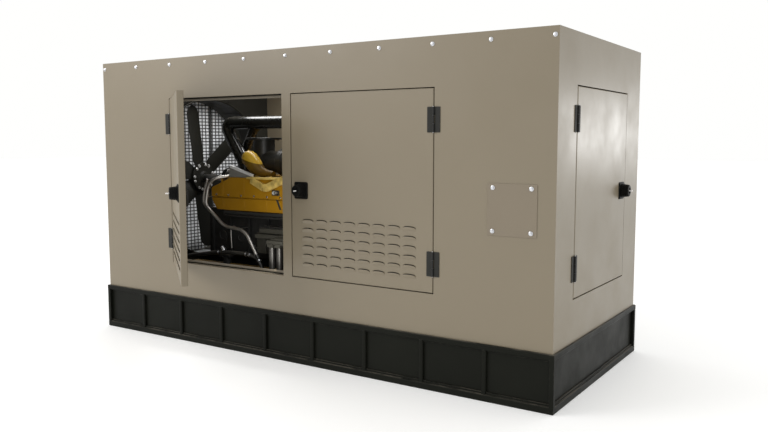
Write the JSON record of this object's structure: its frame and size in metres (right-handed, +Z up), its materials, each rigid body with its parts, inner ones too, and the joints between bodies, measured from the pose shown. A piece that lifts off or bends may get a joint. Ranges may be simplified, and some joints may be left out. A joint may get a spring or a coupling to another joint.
{
  "type": "enclosed standby generator",
  "caption": "Steel-housed standby generator on a ribbed base tank, with opening service doors, radiator fan, engine and alternator inside.",
  "frame": {"origin": "centre of the base's underside, where it stands on its slab", "axes": "+X along the front towards the end with the end door, -Y out of the front wall with the two front doors, +Z up"},
  "size_m": [4.133, 2.4929, 2.31],
  "materials": {
    "tan_paint": "semi-gloss powder coat",
    "service_cover_paint": "semi-gloss powder coat, slightly darker",
    "black_paint": "satin black enamel",
    "hinge_coating": "satin black coating on steel",
    "latch_plastic": "fine-grained black moulding",
    "zinc_steel": "bright zinc plate",
    "shaft_steel": "machined steel",
    "seal_rubber": "black rubber",
    "core_aluminium": "bright fins and dark tubes",
    "shroud_paint": "satin dark grey",
    "fan_plastic": "moulded black nylon",
    "pulley_iron": "machined iron",
    "engine_yellow": "gloss enamel on castings",
    "filter_metal": "grey enamel",
    "exhaust_iron": "heat-resistant black",
    "filter_housing": "moulded black",
    "silencer_steel": "aluminised steel, dulled",
    "alternator_paint": "satin dark grey enamel",
    "rotor_copper": "varnished windings on an iron core",
    "skid_paint": "dull yellow-brown enamel",
    "cabinet_paint": "textured grey powder coat",
    "panel_face": "satin dark grey",
    "estop_red": "glossy red moulding",
    "breaker_plastic": "matt black moulding",
    "battery_case": "black polypropylene"
  },
  "bodies": {
    "root": {"front_panel": "tan_paint", "back_panel": "tan_paint", "left_end_panel": "tan_paint", "right_end_panel": "tan_paint", "roof_panel": "tan_paint", "service_cover": "service_cover_paint", "base_tank": "black_paint", "base_frame": "black_paint", "discharge_grille": "black_paint", "radiator_frame": "black_paint", "engine_block": "black_paint", "oil_pan": "black_paint", "charge_air_pipe": "black_paint", "frame_hinge_leaves": "hinge_coating", "panel_bolts": "zinc_steel", "hinge_pins": "zinc_steel", "coolant_pipes": "zinc_steel", "door_seals": "seal_rubber", "fan_belt": "seal_rubber", "lower_hose": "seal_rubber", "engine_mounts": "seal_rubber", "radiator_core": "core_aluminium", "fan_shroud": "shroud_paint", "head_cover": "engine_yellow", "compressor_housing": "engine_yellow", "fuel_filters": "filter_metal", "flanged_elbow": "exhaust_iron", "air_cleaner": "filter_housing", "silencer": "silencer_steel", "alternator": "alternator_paint", "skid_rails": "skid_paint", "control_box": "cabinet_paint", "control_face": "panel_face", "battery": "battery_case"},
    "door_front_left_body": {"door_front_left": "tan_paint", "door_front_left_leaves": "hinge_coating", "door_front_left_latch_plate": "latch_plastic"},
    "knob_front_left": {"door_front_left_knob": "latch_plastic"},
    "door_front_right_body": {"door_front_right": "tan_paint", "door_front_right_leaves": "hinge_coating", "door_front_right_latch_plate": "latch_plastic"},
    "knob_front_right": {"door_front_right_knob": "latch_plastic"},
    "door_end_body": {"door_end": "tan_paint", "door_end_leaves": "hinge_coating", "door_end_latch_plate": "latch_plastic"},
    "knob_end": {"door_end_knob": "latch_plastic"},
    "door_back_left_body": {"door_back_left": "tan_paint", "door_back_left_leaves": "hinge_coating", "door_back_left_latch_plate": "latch_plastic"},
    "knob_back_left": {"door_back_left_knob": "latch_plastic"},
    "door_back_right_body": {"door_back_right": "tan_paint", "door_back_right_leaves": "hinge_coating", "door_back_right_latch_plate": "latch_plastic"},
    "knob_back_right": {"door_back_right_knob": "latch_plastic"},
    "fan_body": {"fan": "fan_plastic"},
    "crank_train": {"crank_pulley": "pulley_iron", "drive_shaft": "shaft_steel", "alternator_rotor": "rotor_copper"},
    "estop": {"estop_button": "estop_red"},
    "breaker_lever": {"breaker_handle": "breaker_plastic"}
  },
  "joints": [
    {"name": "front_left_door_hinge", "type": "hinge", "parent": "root", "child": "door_front_left_body", "pos_m": [-1.206, -0.836, 1.283], "axis": [0, 0, -1], "range_deg": [-39, 71]},
    {"name": "front_left_latch_turn", "type": "hinge", "parent": "door_front_left_body", "child": "knob_front_left", "pos_m": [-0.3729, -1.51063, 1.254], "axis": [-0.6293, -0.7771, 0], "range_deg": [0, 90]},
    {"name": "front_right_door_hinge", "type": "hinge", "parent": "root", "child": "door_front_right_body", "pos_m": [1.206, -0.836, 1.283], "axis": [0, 0, 1], "range_deg": [0, 110]},
    {"name": "front_right_latch_turn", "type": "hinge", "parent": "door_front_right_body", "child": "knob_front_right", "pos_m": [0.134, -0.836, 1.254], "axis": [0, 1, 0], "range_deg": [0, 90]},
    {"name": "end_door_hinge", "type": "hinge", "parent": "root", "child": "door_end_body", "pos_m": [2.0235, -0.511, 1.283], "axis": [0, 0, -1], "range_deg": [0, 110]},
    {"name": "end_latch_turn", "type": "hinge", "parent": "door_end_body", "child": "knob_end", "pos_m": [2.0235, 0.421, 1.254], "axis": [1, 0, 0], "range_deg": [0, 90]},
    {"name": "back_left_door_hinge", "type": "hinge", "parent": "root", "child": "door_back_left_body", "pos_m": [-1.206, 0.836, 1.283], "axis": [0, 0, 1], "range_deg": [0, 110]},
    {"name": "back_left_latch_turn", "type": "hinge", "parent": "door_back_left_body", "child": "knob_back_left", "pos_m": [-0.134, 0.836, 1.254], "axis": [0, -1, 0], "range_deg": [0, 90]},
    {"name": "back_right_door_hinge", "type": "hinge", "parent": "root", "child": "door_back_right_body", "pos_m": [1.206, 0.836, 1.283], "axis": [0, 0, -1], "range_deg": [0, 110]},
    {"name": "back_right_latch_turn", "type": "hinge", "parent": "door_back_right_body", "child": "knob_back_right", "pos_m": [0.134, 0.836, 1.254], "axis": [0, 1, 0], "range_deg": [0, 90]},
    {"name": "crank_spin", "type": "hinge", "parent": "root", "child": "crank_train", "pos_m": [0, 0, 0.9], "axis": [1, 0, 0], "continuous": true},
    {"name": "fan_spin", "type": "hinge", "parent": "root", "child": "fan_body", "pos_m": [-1.745, 0, 1.27], "axis": [1, 0, 0], "continuous": true},
    {"name": "estop_push", "type": "slide", "parent": "root", "child": "estop", "axis": [-1, 0, 0], "range_m": [0, 0.006], "stiffness_N_per_m": 600, "springref_m": -0.004},
    {"name": "breaker_toggle", "type": "hinge", "parent": "root", "child": "breaker_lever", "pos_m": [1.907, 0.18, 1.25], "axis": [0, -1, 0], "range_deg": [0, 50]}
  ],
  "couplings": [
    {"joint": "fan_spin", "follows": "crank_spin", "ratio": 1}
  ]
}
